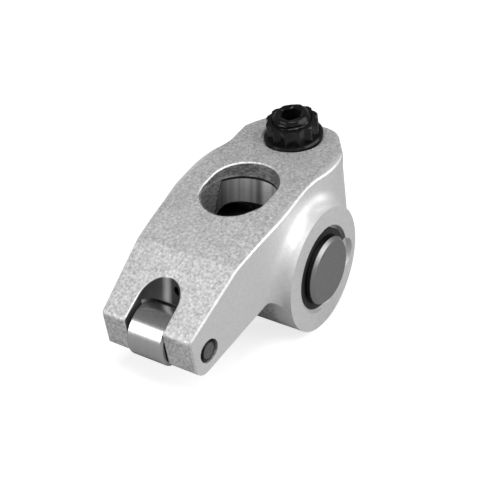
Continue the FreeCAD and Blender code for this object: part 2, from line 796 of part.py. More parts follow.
def lock_nut():
    """Twelve-point nut with a cone-shaped skirt and a flange."""
    body = new_body("lock_nut")
    bore = "thread_radius + nut_thread_gap"
    upright_profile(body, "blank", [
        (bore, "0", None),
        ("nut_flange_radius - nut_edge", "0", None),
        ("nut_flange_radius", "nut_edge", None),
        ("nut_flange_radius", "nut_flange_height", None),
        ("nut_points_radius", "nut_skirt_height", None),
        ("nut_points_radius", "nut_height - nut_edge", None),
        ("nut_points_radius - nut_edge", "nut_height", None),
        (bore + " + nut_edge", "nut_height", None),
        (bore, "nut_height - nut_edge", None)])
    flutes = new_sketch(body, "flute_outline", "XY_Plane", "(nut_flange_height + nut_skirt_height) / 2")
    # The flanks of a flute run on past the points, as far out again
    half = "2 * nut_points_radius * sin(180 / nut_points - nut_land_angle)"
    mouth = "2 * nut_points_radius * cos(180 / nut_points - nut_land_angle) - nut_valley_radius"
    outline(flutes, [(mouth, "-" + half, None),
                     ("overrun", "-" + half, None),
                     ("overrun", half, None),
                     (mouth, half, None),
                     ("nut_valley_radius", "0", None)])
    first = cut(body, "flute", flutes, reverse=True)
    pattern = body.newObject("PartDesign::PolarPattern", "flutes")
    pattern.Originals = [first]
    pattern.Axis = (axis_line(body, "Z_Axis"), [""])
    pattern.Angle = WHOLE_TURN
    pattern.setExpression("Occurrences", bound("nut_points"))
    body.Tip = pattern
    lean(body)
    document.recompute()
    return body


def bearing(side, word):
    """Shell, cage, needles, retaining ring and seal of one side."""
    parts = [bearing_shell(side, "bearing_shell_" + word), cage(side, "needle_cage_" + word)]
    for number in range(int(SIZES["needle_count"])):
        parts.append(needle(side, "needle_%s_%02d" % (word, number + 1), "%d * 360 / needle_count" % number))
    parts.append(clip(side, "retaining_clip_" + word))
    parts.append(seal(side, "bearing_seal_" + word))
    return parts


def write_parts(parts):
    """Check every solid and write it to its own file."""
    os.makedirs("parts", exist_ok=True)
    for item in document.Objects:
        if any(word in item.State for word in ("Invalid", "Error")):
            raise RuntimeError(item.Label + " is not sound: " + str(item.State))
    for part in parts:
        if part.Shape.isNull() or not part.Shape.isValid():
            raise RuntimeError(part.Label + " has no valid shape")
        part.Shape.exportStep("parts/%s.step" % part.Label)
        print(part.Label, round(part.Shape.Volume, 2), len(part.Shape.Solids), len(part.Shape.Faces))


write_parts([rocker_body(), trunnion(), tip_roller(), roller_pin(), adjuster_screw(), lock_nut()]
            + bearing(NEAR_SIDE, "near") + bearing(FAR_SIDE, "far"))
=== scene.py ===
# %% [markdown]
# # A roller rocker arm, dressed on its CAD frame
# The object is a rocker arm: an aluminium body with a hub across it, a steel cross shaft on
# needle bearings, a roller in the nose and a slanted adjusting screw with its lock nut.
# The shapes come ready from the CAD frame. What Blender adds here is the finish of each metal
# and the screw's thread, which the frame leaves as a plain cylinder.

# %% Load the frame
import math

import bpy
import numpy as np
from mathutils import Matrix, Vector


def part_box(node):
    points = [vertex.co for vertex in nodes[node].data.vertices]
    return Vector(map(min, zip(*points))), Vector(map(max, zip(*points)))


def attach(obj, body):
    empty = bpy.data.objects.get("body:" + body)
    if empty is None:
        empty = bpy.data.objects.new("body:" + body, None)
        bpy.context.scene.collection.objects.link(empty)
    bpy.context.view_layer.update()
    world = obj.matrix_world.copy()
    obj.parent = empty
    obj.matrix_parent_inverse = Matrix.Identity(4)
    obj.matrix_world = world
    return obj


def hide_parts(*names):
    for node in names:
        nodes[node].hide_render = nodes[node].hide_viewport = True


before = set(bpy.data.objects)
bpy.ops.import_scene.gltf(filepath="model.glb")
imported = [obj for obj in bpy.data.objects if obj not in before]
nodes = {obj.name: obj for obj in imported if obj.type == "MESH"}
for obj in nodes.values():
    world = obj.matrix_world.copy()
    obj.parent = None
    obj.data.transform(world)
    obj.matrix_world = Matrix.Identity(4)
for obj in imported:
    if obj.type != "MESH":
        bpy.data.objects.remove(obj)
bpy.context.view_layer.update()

# %% [markdown]
# ## Numbers that several cells share
# All lengths are in metres, in the frame of the CAD: the origin is the middle of the cross
# shaft, X points to the adjuster, Y to the far side and Z up. The adjuster leans towards the
# nose, so its own up direction is kept as a vector beside the point where it enters the body.

# %% Shared measures
MM = 0.001
FLOOR_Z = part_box("rocker_body")[0].z
ADJUSTER_FOOT = np.array([17.8, 0.0, 23.2]) * MM
ADJUSTER_LEAN = math.radians(13.5)
ADJUSTER_UP = np.array([-math.sin(ADJUSTER_LEAN), 0.0, math.cos(ADJUSTER_LEAN)])
ADJUSTER_SIDE = np.array([math.cos(ADJUSTER_LEAN), 0.0, math.sin(ADJUSTER_LEAN)])
INCH = 25.4 * MM
THREAD_PITCH = INCH / 24
THREAD_RADIUS = 4.76 * MM
print("floor at", round(FLOOR_Z / MM, 2), "mm, thread pitch", round(THREAD_PITCH / MM, 3), "mm")

# %% [markdown]
# ## Helpers for shader nodes
# Every finish below is a small network of nodes. Written out link by link such a network is
# long, so a few helpers keep each step to one line: one joins two sockets, some do a sum on
# values, one stretches a range of values, one mixes two colours and one makes noise.


# %% Node helpers
def link(tree, source, target):
    """Joins an output socket to an input socket, or sets the input where a number is given."""
    if isinstance(source, bpy.types.NodeSocket):
        tree.links.new(source, target)
    else:
        target.default_value = source


def calc(tree, operation, first, second=0.0):
    """Result of a sum, comparison or function on one or two values."""
    node = tree.nodes.new("ShaderNodeMath")
    node.operation = operation
    link(tree, first, node.inputs[0])
    link(tree, second, node.inputs[1])
    return node.outputs[0]


def times(tree, first, second):
    """Product of two values. For two masks it is one where both are."""
    return calc(tree, "MULTIPLY", first, second)


def minus(tree, first, second):
    """Difference of two values."""
    return calc(tree, "SUBTRACT", first, second)


def hypotenuse(tree, across, upward):
    """Distance from an axis: the root of across * across + upward * upward."""
    squares = calc(tree, "ADD", times(tree, across, across), times(tree, upward, upward))
    return calc(tree, "SQRT", squares)


def spread(tree, value, low, high, new_low=0.0, new_high=1.0):
    """Stretches a value from one range to another and stops at both ends."""
    node = tree.nodes.new("ShaderNodeMapRange")
    for socket, number in zip(node.inputs[:5], (value, low, high, new_low, new_high)):
        link(tree, number, socket)
    return node.outputs[0]


def mix(tree, factor, first, second, blend="MIX"):
    """Mixes two colours by a factor. Each is a socket or an (r, g, b, 1) colour."""
    node = tree.nodes.new("ShaderNodeMix")
    node.data_type, node.blend_type = "RGBA", blend
    for index, value in ((0, factor), (6, first), (7, second)):
        link(tree, value, node.inputs[index])
    return node.outputs[2]


def grey(value):
    """Neutral colour."""
    return (value, value, value, 1.0)


def noise(tree, place, scale, detail=3.0, roughness=0.6, stretch=(1.0, 1.0, 1.0)):
    """Noise value on a position, with the position stretched first."""
    mapping = tree.nodes.new("ShaderNodeMapping")
    mapping.inputs["Scale"].default_value = stretch
    texture = tree.nodes.new("ShaderNodeTexNoise")
    link(tree, place, mapping.inputs["Vector"])
    link(tree, mapping.outputs[0], texture.inputs["Vector"])
    link(tree, scale, texture.inputs["Scale"])
    link(tree, detail, texture.inputs["Detail"])
    link(tree, roughness, texture.inputs["Roughness"])
    return texture.outputs["Fac"]


def new_group(name, inputs, outputs):
    """Empty node group with named float inputs and outputs, and its two end nodes."""
    group = bpy.data.node_groups.new(name, "ShaderNodeTree")
    value = "NodeSocketFloat"
    for label, default in inputs.items():
        socket = group.interface.new_socket(name=label, in_out="INPUT", socket_type=value)
        socket.default_value = default
    for label in outputs:
        group.interface.new_socket(name=label, in_out="OUTPUT", socket_type=value)
    return group, group.nodes.new("NodeGroupInput"), group.nodes.new("NodeGroupOutput")


def object_place(tree):
    """Position on the object, in metres, which doesn't change when the object moves."""
    return tree.nodes.new("ShaderNodeTexCoord").outputs["Object"]


def split_axes(tree, vector):
    """The sockets with the X, Y and Z of a vector."""
    node = tree.nodes.new("ShaderNodeSeparateXYZ")
    link(tree, vector, node.inputs[0])
    return node.outputs


print("node helpers ready")

# %% [markdown]
# ## Effects shared by several finishes
# A metal surface is never one colour. Two effects come back on almost every piece here.
# The first is speckle: tumbling among small stones leaves fine light and dark flecks, and the
# tone drifts slowly from place to place. The second is turning: a lathe or a grinder leaves
# fine rings round the axis. Each is built once as a node group with named inputs, and each
# finish places it with its own numbers. Blender's noise seldom leaves the middle of its range,
# so that middle is stretched to the whole range from zero to one.


# %% Speckle group
NOISE_RANGE = 0.3, 0.7


def build_speckle():
    """Two noises on the position: a fine one for flecks and a coarse one for drifting tone."""
    group, start, end = new_group("speckle", {"Fleck size": 1500.0, "Patch size": 110.0},
                                  ["Fleck", "Patch"])
    place = object_place(group)
    fleck = noise(group, place, start.outputs["Fleck size"], detail=4.0, roughness=0.7)
    patch = noise(group, place, start.outputs["Patch size"], detail=3.0, roughness=0.55)
    link(group, spread(group, fleck, *NOISE_RANGE), end.inputs["Fleck"])
    link(group, spread(group, patch, *NOISE_RANGE), end.inputs["Patch"])
    return group


SPECKLE = build_speckle()
print("group", SPECKLE.name, "with", len(SPECKLE.nodes), "nodes")


# %% Turning marks group
def build_turning():
    """Noise that depends only on the distance from an axis along Y and on the place along it."""
    group, start, end = new_group("turning_marks",
                                  {"Fineness": 2500.0, "Axis x": 0.0, "Axis z": 0.0}, ["Rings"])
    x, y, z = split_axes(group, object_place(group))
    across = minus(group, x, start.outputs["Axis x"])
    upward = minus(group, z, start.outputs["Axis z"])
    joined = group.nodes.new("ShaderNodeCombineXYZ")
    link(group, hypotenuse(group, across, upward), joined.inputs["X"])
    link(group, y, joined.inputs["Y"])
    rings = noise(group, joined.outputs[0], start.outputs["Fineness"], detail=5.0, roughness=0.7)
    link(group, spread(group, rings, *NOISE_RANGE), end.inputs["Rings"])
    return group


TURNING = build_turning()
print("group", TURNING.name, "with", len(TURNING.nodes), "nodes")


# %% [markdown]
# ### Where the cutter went
# The window, the throat below it and the roller slot are milled after the body is tumbled, so
# their walls have another look. The window's upper band is rough with tool marks and reaches
# deeper on the nose side. The throat is smooth, with painted reflections as upright bright
# stripes and painted light that brightens it towards its rear, and its topmost band is painted
# dark as painted shade under the ledge. The slot is smooth, its walls painted dark as painted
# shade with one lighter streak as a painted highlight, and the oil hole in its end wall is
# painted black inside as painted shade. The group finds these walls from the position alone:
# an obround is all points within a radius of a short line, and the oil hole is a round bar
# along X. A small margin keeps the walls themselves inside their obrounds.

# %% Measures of the milled walls
# Each outline is the x and y of the short line's middle, half the line's length and the radius
WINDOW_OUTLINE = (-7.06 * MM, 0.0, 1.64 * MM, 8.58 * MM)
THROAT_OUTLINE = (-7.06 * MM, 0.0, 1.7 * MM, 8.1 * MM)
SLOT_OUTLINE = (-49.8 * MM, 0.45 * MM, 10.0 * MM, 5.1 * MM)
WALL_MARGIN = 0.08 * MM
WINDOW_FLOOR_Z = 17.85 * MM
DEEP_X, DEEP_SLOPE = -3.0 * MM, 3.0
# Height of the throat's topmost band, painted dark as painted shade under the ledge
LEDGE_SHADE_HEIGHT = 0.6 * MM
THROAT_FOOT_Z = 3.0 * MM
OIL_HOLE_Y, OIL_HOLE_Z = -1.6 * MM, 5.8 * MM
OIL_HOLE_RADIUS, OIL_HOLE_REAR_X = 1.05 * MM, -24.0 * MM
print("rough cut down to", round(WINDOW_FLOOR_Z / MM, 2), "mm")


# %% Milled walls group
def within(tree, value, limit):
    """One where a value is under a limit, otherwise zero."""
    return calc(tree, "LESS_THAN", value, limit)


def in_obround(tree, x, y, outline):
    """One inside an obround in plan, otherwise zero. How far x lies beyond the line's ends, and
    y beside it, give the distance from the line."""
    middle_x, middle_y, half_line, radius = outline
    along = calc(tree, "ABSOLUTE", minus(tree, x, middle_x))
    beyond = calc(tree, "MAXIMUM", minus(tree, along, half_line), 0.0)
    distance = hypotenuse(tree, beyond, minus(tree, y, middle_y))
    return within(tree, distance, radius + WALL_MARGIN)


def build_milled():
    """Masks of the window's, the throat's and the slot's walls and of the oil hole. The rough
    cut ends at WINDOW_FLOOR_Z, and lower by DEEP_SLOPE * (DEEP_X - x) on the nose side of
    DEEP_X. The throat's topmost band, of the given height, is the one painted dark as painted
    shade under the ledge."""
    labels = ["Window", "Throat", "Ledge shade", "Slot", "Oil hole"]
    group, _, end = new_group("milled_walls", {}, labels)
    x, y, z = split_axes(group, object_place(group))
    past = calc(group, "MAXIMUM", minus(group, DEEP_X, x), 0.0)
    floor = minus(group, WINDOW_FLOOR_Z, times(group, past, DEEP_SLOPE))
    window = times(group, within(group, floor, z), in_obround(group, x, y, WINDOW_OUTLINE))
    lower = times(group, within(group, z, floor), within(group, THROAT_FOOT_Z, z))
    throat = times(group, lower, in_obround(group, x, y, THROAT_OUTLINE))
    ledge_shade = times(group, throat, within(group, minus(group, floor, LEDGE_SHADE_HEIGHT), z))
    slot = in_obround(group, x, y, SLOT_OUTLINE)
    off_axis = hypotenuse(group, minus(group, y, OIL_HOLE_Y), minus(group, z, OIL_HOLE_Z))
    oil_hole = times(group, within(group, off_axis, OIL_HOLE_RADIUS),
                     within(group, x, OIL_HOLE_REAR_X))
    for label, mask in zip(labels, (window, throat, ledge_shade, slot, oil_hole)):
        link(group, mask, end.inputs[label])
    return group


MILLED = build_milled()
print("group", MILLED.name, "with", len(MILLED.nodes), "nodes")


# %% [markdown]
# ## Finishes
# Each finish has its own Principled shader. The metals here are all neutral in colour: what
# tells them apart is how dark they are and how sharply they reflect.

# %% A material to start from
def new_finish(name, roughness=0.4, metallic=1.0):
    """Material with a Principled shader, and the tree and shader to build on."""
    material = bpy.data.materials.new(name)
    material.use_nodes = True
    shader = material.node_tree.nodes["Principled BSDF"]
    shader.inputs["Metallic"].default_value = metallic
    shader.inputs["Roughness"].default_value = roughness
    return material, material.node_tree, shader


def place_group(tree, group, **values):
    """Puts a shared group into a material and sets its inputs."""
    node = tree.nodes.new("ShaderNodeGroup")
    node.node_tree = group
    for label, value in values.items():
        node.inputs[label.replace("_", " ")].default_value = value
    return node


def relief(tree, shader, height, depth):
    """Feeds a height, where one stands for the depth in metres, to the shader's normal."""
    bump = tree.nodes.new("ShaderNodeBump")
    bump.inputs["Distance"].default_value = depth
    bump.inputs["Strength"].default_value = 1.0
    link(tree, height, bump.inputs["Height"])
    link(tree, bump.outputs[0], shader.inputs["Normal"])


def vary_roughness(tree, shader, value, low, high):
    """Sets the roughness from low to high as a value goes from zero to one."""
    link(tree, spread(tree, value, 0.0, 1.0, low, high), shader.inputs["Roughness"])


print("finish helpers ready")


# %% [markdown]
# ### Tumbled aluminium
# The body is milled from bar and then tumbled, which dulls it to an even, pale satin with
# flecks. Where the surface faces sideways or lies out on the hub the flecks fade, and it is
# evened out to a lighter grey as painted light on the brighter-lit sides. The milled walls are
# laid over it with the masks above.


# %% Tones and places on the body
# Each pair is the tone at zero and the tone at one
FLECK_TONES = grey(0.32), grey(0.86)
PATCH_TONES = grey(0.84), grey(1.0)
ROUGH_TONES = grey(0.10), grey(0.36)
# Painted reflections: the dark and the bright of the throat's upright stripes
THROAT_REFLECTION_TONES = grey(0.02), grey(1.0)
# Painted highlight of the slot's one streak, then the painted shade of the rest of its walls
SLOT_SHADE_AND_HIGHLIGHT_TONES = grey(0.45), grey(0.07)
# Painted light on the sides, painted shade under the ledge and painted shade inside the oil hole
LIT_SIDE_TONE, LEDGE_SHADE_TONE, OIL_HOLE_SHADE_TONE = grey(0.78), grey(0.03), grey(0.01)
# Where the sides begin and are complete: by place along Y, and by how far they face along Y
HUB_SIDE_Y = 13.8 * MM, 15.4 * MM
SIDEWAYS = 0.2, 0.9
# How much of the sides takes the lighter grey that is painted light, and how many flecks stay
LIT_SIDE_SHARE, SIDE_FLECKS = 0.8, 0.2
# Rough cut and painted reflection stripes: noise stretched along Z, the range of it that shows,
# and how bright the stripes, and the throat's nose side where its painted light is weakest, are at
# least
MARKS_STRETCH, REFLECTION_STRIPES_STRETCH = (1.0, 1.0, 3.5), (1.0, 1.0, 0.02)
MARKS_RANGE, REFLECTION_STRIPES_RANGE = (0.35, 0.65), (0.42, 0.58)
REFLECTION_STRIPES_LEAST, THROAT_LIGHT_LEAST = 0.3, 0.25
# Where the throat's painted light ramps up, from its nose side to its rear
THROAT_LIGHT_X = -5.0 * MM, 2.5 * MM
# Place and fade of the slot's painted highlight streak
HIGHLIGHT_STREAK_Y = 1.3 * MM
HIGHLIGHT_STREAK_FADE = 0.2 * MM, 1.3 * MM
# Roughness falls from the first to the second with the flecks, and further where it is milled
BODY_ROUGHNESS = 0.58, 0.48
MILLED_SMOOTHER, SLOT_SHARE = 0.12, 0.6
BODY_RELIEF, MARKS_HEIGHT = 0.035 * MM, 3.0
print("body tones from", OIL_HOLE_SHADE_TONE[0], "to", THROAT_REFLECTION_TONES[1][0])


# %% Tumbled aluminium
def lit_side_mask(tree, y):
    """One out on the hub and where the surface faces along Y, zero on the top and the nose."""
    facing = tree.nodes.new("ShaderNodeTexCoord").outputs["Normal"]
    sideways = calc(tree, "ABSOLUTE", split_axes(tree, facing)["Y"])
    outward = spread(tree, calc(tree, "ABSOLUTE", y), *HUB_SIDE_Y)
    return calc(tree, "MAXIMUM", outward, spread(tree, sideways, *SIDEWAYS))


def satin_tone(tree, speckle, side):
    """Flecks times drifting patches, evened out at the sides to one lighter grey that is painted
    light.
    """
    flecks = mix(tree, speckle.outputs["Fleck"], *FLECK_TONES)
    patches = mix(tree, speckle.outputs["Patch"], *PATCH_TONES)
    satin = mix(tree, 1.0, flecks, patches, "MULTIPLY")
    return mix(tree, times(tree, side, LIT_SIDE_SHARE), satin, LIT_SIDE_TONE)


def throat_painted_reflections(tree, place, x):
    """Painted reflections as upright stripes on the throat's wall, and painted light that
    brightens it towards its rear.
    """
    reflection_noise = noise(tree, place, scale=220.0, detail=2.0, stretch=REFLECTION_STRIPES_STRETCH)
    stripes = spread(tree, reflection_noise, *REFLECTION_STRIPES_RANGE, REFLECTION_STRIPES_LEAST, 1.0)
    rearward_light = spread(tree, x, *THROAT_LIGHT_X, THROAT_LIGHT_LEAST, 1.0)
    return mix(tree, times(tree, rearward_light, stripes), *THROAT_REFLECTION_TONES)


def slot_shade_and_highlight(tree, y):
    """Wall of the slot painted dark as painted shade, with one paler streak at the given y as a
    painted highlight.
    """
    beside = calc(tree, "ABSOLUTE", minus(tree, y, HIGHLIGHT_STREAK_Y))
    return mix(tree, spread(tree, beside, *HIGHLIGHT_STREAK_FADE), *SLOT_SHADE_AND_HIGHLIGHT_TONES)


def tumbled_aluminium():
    """Satin all over, with the milled walls laid over it one after the other."""
    material, tree, shader = new_finish("tumbled_aluminium", metallic=0.7)
    speckle = place_group(tree, SPECKLE, Fleck_size=1450.0, Patch_size=260.0)
    fleck = speckle.outputs["Fleck"]
    walls = place_group(tree, MILLED).outputs
    place = object_place(tree)
    x, y, _ = split_axes(tree, place)
    side = lit_side_mask(tree, y)
    marks = noise(tree, place, scale=900.0, detail=4.0, stretch=MARKS_STRETCH)
    rough_cut = mix(tree, spread(tree, marks, *MARKS_RANGE), *ROUGH_TONES)
    colour = satin_tone(tree, speckle, side)
    # Laid over the satin: the throat's painted reflections and painted light, the painted shade
    # under the ledge, the slot's painted shade and highlight, and the painted shade inside the oil
    # hole
    for wall, tone in (("Window", rough_cut), ("Throat", throat_painted_reflections(tree, place, x)),
                       ("Ledge shade", LEDGE_SHADE_TONE), ("Slot", slot_shade_and_highlight(tree, y)),
                       ("Oil hole", OIL_HOLE_SHADE_TONE)):
        colour = mix(tree, walls[wall], colour, tone)
    link(tree, colour, shader.inputs["Base Color"])
    smooth = calc(tree, "MAXIMUM", walls["Throat"], times(tree, walls["Slot"], SLOT_SHARE))
    satin = spread(tree, fleck, 0.0, 1.0, *BODY_ROUGHNESS)
    roughness = minus(tree, satin, times(tree, smooth, MILLED_SMOOTHER))
    link(tree, roughness, shader.inputs["Roughness"])
    flecks = times(tree, fleck, spread(tree, side, 0.0, 1.0, 1.0, SIDE_FLECKS))
    tool_marks = times(tree, times(tree, marks, walls["Window"]), MARKS_HEIGHT)
    relief(tree, shader, calc(tree, "ADD", flecks, tool_marks), BODY_RELIEF)
    return material


ALUMINIUM = tumbled_aluminium()
print("finish:", ALUMINIUM.name)


# %% [markdown]
# ### Ground and polished steel
# The cross shaft is hardened and ground: its ends are a mid grey with faint rings, and round
# it the shaft is nearly black. The roller and the needles are polished after grinding,
# so they mirror the room in narrow bands. The bearing's shells and clips are drawn steel, pale
# and dull. All use the turning marks, with other numbers.


# %% Steel finishes
ROLLER_AXIS = (-39.06 * MM, -3.75 * MM)
SHAFT_END_Y = 20.55 * MM
JACKET_TONES = grey(0.02), grey(0.08)
SHAFT_END_TONES = grey(0.27), grey(0.32)
GROUND_DEPTH, POLISHED_DEPTH, DRAWN_DEPTH = 0.002 * MM, 0.001 * MM, 0.004 * MM


def turned_steel(name, dark, light, roughness, fineness, depth, axis=(0.0, 0.0)):
    """Rings between two tones, round an axis along Y, with a few patches that are more even."""
    material, tree, shader = new_finish(name, roughness)
    turning = place_group(tree, TURNING, Fineness=fineness, Axis_x=axis[0], Axis_z=axis[1])
    rings = turning.outputs["Rings"]
    speckle = place_group(tree, SPECKLE)
    even = spread(tree, speckle.outputs["Patch"], 0.0, 1.0, 0.0, 0.35)
    colour = mix(tree, even, mix(tree, rings, grey(dark), grey(light)), grey((dark + light) / 2))
    link(tree, colour, shader.inputs["Base Color"])
    vary_roughness(tree, shader, speckle.outputs["Fleck"], roughness * 0.85, roughness * 1.2)
    relief(tree, shader, rings, depth)
    return material


def shaft_steel():
    """Ground steel with a darker jacket: the end faces lie further out than SHAFT_END_Y."""
    material, tree, shader = new_finish("ground_shaft_steel")
    rings = place_group(tree, TURNING, Fineness=2600.0).outputs["Rings"]
    outward = calc(tree, "ABSOLUTE", split_axes(tree, object_place(tree))["Y"])
    at_end = calc(tree, "GREATER_THAN", outward, SHAFT_END_Y)
    jacket, face = mix(tree, rings, *JACKET_TONES), mix(tree, rings, *SHAFT_END_TONES)
    link(tree, mix(tree, at_end, jacket, face), shader.inputs["Base Color"])
    vary_roughness(tree, shader, at_end, 0.35, 0.45)
    relief(tree, shader, rings, GROUND_DEPTH)
    return material


GROUND = shaft_steel()
POLISHED = turned_steel("polished_roller_steel", dark=0.45, light=0.62, roughness=0.23,
                        fineness=3500.0, depth=POLISHED_DEPTH, axis=ROLLER_AXIS)
NEEDLE = turned_steel("polished_needle_steel", dark=0.55, light=0.68, roughness=0.15,
                      fineness=3000.0, depth=POLISHED_DEPTH)
SHELL = turned_steel("drawn_shell_steel", dark=0.72, light=0.85, roughness=0.45,
                     fineness=1800.0, depth=DRAWN_DEPTH)
print("finishes:", [m.name for m in (GROUND, POLISHED, NEEDLE, SHELL)])


# %% [markdown]
# ### Blackened steel
# The nut, the screw and the roller pin are blackened in a hot bath. The black layer is thin
# and slightly glossy, so corners catch the light as clean white lines. The pin was ground to
# length afterwards, which leaves a bare grey face inside its black rim. The cage of the
# bearing is phosphated, dull and dark grey, and the seal is plain black rubber.


# %% Blackened and phosphated steel
PIN_FACE = 1.95 * MM
PIN_FACE_TONES, PIN_RIM_TONE = (grey(0.10), grey(0.22)), grey(0.008)
PIN_DEPTH, DARK_DEPTH = 0.006 * MM, 0.004 * MM
DARK_SHINE = 0.35


def dark_steel(name, low, high, roughness, metallic=0.55):
    """Drifting patches between two dark tones, with the strongest flecks paler than both."""
    material, tree, shader = new_finish(name, roughness, metallic)
    speckle = place_group(tree, SPECKLE, Fleck_size=2200.0, Patch_size=300.0)
    fleck = speckle.outputs["Fleck"]
    patches = mix(tree, speckle.outputs["Patch"], grey(low), grey(high))
    colour = mix(tree, spread(tree, fleck, 0.6, 1.0, 0.0, 0.5), patches, grey(high * 1.6))
    link(tree, colour, shader.inputs["Base Color"])
    vary_roughness(tree, shader, fleck, roughness * 0.8, roughness * 1.3)
    shader.inputs["Specular IOR Level"].default_value = DARK_SHINE
    relief(tree, shader, fleck, DARK_DEPTH)
    return material


def pin_steel():
    """Black, with a bare face inside PIN_FACE of the axis, where the end was ground flat."""
    material, tree, shader = new_finish("roller_pin_steel", roughness=0.3, metallic=0.8)
    x, _, z = split_axes(tree, object_place(tree))
    distance = hypotenuse(tree, minus(tree, x, ROLLER_AXIS[0]), minus(tree, z, ROLLER_AXIS[1]))
    rim = spread(tree, distance, PIN_FACE * 0.96, PIN_FACE * 1.04)
    fleck = place_group(tree, SPECKLE, Fleck_size=1800.0).outputs["Fleck"]
    colour = mix(tree, rim, mix(tree, fleck, *PIN_FACE_TONES), PIN_RIM_TONE)
    link(tree, colour, shader.inputs["Base Color"])
    relief(tree, shader, fleck, PIN_DEPTH)
    return material


PIN = pin_steel()
BLACK = dark_steel("black_oxide", low=0.006, high=0.016, roughness=0.16)
SEAL_RUBBER = dark_steel("seal_rubber", low=0.010, high=0.020, roughness=0.55, metallic=0.0)
PHOSPHATE = dark_steel("phosphated_cage", low=0.06, high=0.10, roughness=0.5)
print("finishes:", [m.name for m in (PIN, BLACK, SEAL_RUBBER, PHOSPHATE)])

# %% [markdown]
# ## Dressing the CAD nodes
# A node whose shape is right keeps it and only gets its finish. The names of the nodes say
# what they are, so a short table from the start of a name to a finish is enough.

# %% Give every node its finish
FINISH_OF = {"rocker_body": ALUMINIUM, "trunnion": GROUND, "tip_roller": POLISHED,
             "roller_pin": PIN, "adjuster_screw": BLACK, "lock_nut": BLACK,
             "bearing_shell": SHELL, "needle_cage": PHOSPHATE, "needle_near": NEEDLE,
             "needle_far": NEEDLE, "retaining_clip": SHELL, "bearing_seal": SEAL_RUBBER}
for name, node in nodes.items():
    finish = next(finish for start, finish in FINISH_OF.items() if name.startswith(start))
    node.data.materials.clear()
    node.data.materials.append(finish)
print("dressed", len(nodes), "nodes")

# %% [markdown]
# ## The adjusting screw's thread
# The real screw is threaded from end to end, has a hexagon socket on top and a round cup
# below that takes the pushrod. It could be a cylinder with a screw modifier, but the thread
# has to fade out into the chamfers at both ends. So the whole screw is one surface worked out
# on a grid: going round gives the angle, going down the rows gives the height, and the radius
# at each point is the smaller of the thread's and the chamfer's.


# %% Screw surface
SCREW_TOP, SCREW_FOOT = 7.2 * MM, -39.1 * MM
TOP_CHAMFER, FOOT_CHAMFER = 3.86 * MM, 3.96 * MM
TOP_EDGE, FOOT_EDGE = 3.8 * MM, 3.9 * MM
THREAD_DEPTH = 0.6 * MM
THREAD_FLAT, THREAD_FLANK = 0.12, 0.76
ROWS_PER_TURN = 12
FIRST_ROW_DROP = 0.03 * MM
SOCKET_HALF_WIDTH, SOCKET_DEPTH = 2.38 * MM, 4.5 * MM
SOCKET_BEVEL, SOCKET_MOUTH = 0.3 * MM, 3.05 * MM
SOCKET_TURN = math.radians(20)
CUP_BALL, CUP_BALL_DROP = 4.25 * MM, 2.55 * MM
CUP_RADII = np.linspace(3.4, 0.4, 9) * MM
ANGLES = np.linspace(0, 2 * math.pi, 80, endpoint=False)
SHARP_ANGLE = math.radians(32)


def thread_radius(angle, height):
    """Crest radius less the depth, by how far the height is from the helix that the crest
    follows, as a share of the pitch, with a narrow flat at crest and root."""
    share = np.mod(height / THREAD_PITCH - angle / (2 * math.pi), 1.0)
    fall = np.clip((np.abs(2 * share - 1) - THREAD_FLAT) / THREAD_FLANK, 0, 1)
    return THREAD_RADIUS - THREAD_DEPTH * fall


def hexagon_radius(angle):
    """Half the width across flats, over the cosine of the angle from the nearest flat's middle."""
    flat = math.radians(60)
    return SOCKET_HALF_WIDTH / np.cos(np.mod(angle - SOCKET_TURN, flat) - flat / 2)


def screw_rows():
    """Rows of (radius, height) arrays from the socket's floor, over the top and down to the cup.
    The chamfers are at 45 degrees, so the radius grows as fast as the distance from the end. The
    cup is a ball's surface: its rise is the root of CUP_BALL ** 2 - radius ** 2, less the drop."""
    ring = np.ones_like(ANGLES)
    socket = hexagon_radius(ANGLES)
    floor, lip = SCREW_TOP - SOCKET_DEPTH, SCREW_TOP - SOCKET_BEVEL
    rows = [(socket * 0.999, ring * floor), (socket, ring * floor), (socket, ring * lip),
            (ring * SOCKET_MOUTH, ring * SCREW_TOP), (ring * TOP_EDGE, ring * SCREW_TOP)]
    for height in np.arange(SCREW_TOP - FIRST_ROW_DROP, SCREW_FOOT, -THREAD_PITCH / ROWS_PER_TURN):
        chamfers = min(TOP_CHAMFER + (SCREW_TOP - height), FOOT_CHAMFER + (height - SCREW_FOOT))
        rows.append((np.minimum(thread_radius(ANGLES, height), chamfers), ring * height))
    rows.append((ring * FOOT_EDGE, ring * SCREW_FOOT))
    for radius in CUP_RADII:
        rise = math.sqrt(CUP_BALL ** 2 - radius ** 2) - CUP_BALL_DROP
        rows.append((ring * radius, ring * (SCREW_FOOT + rise)))
    return rows


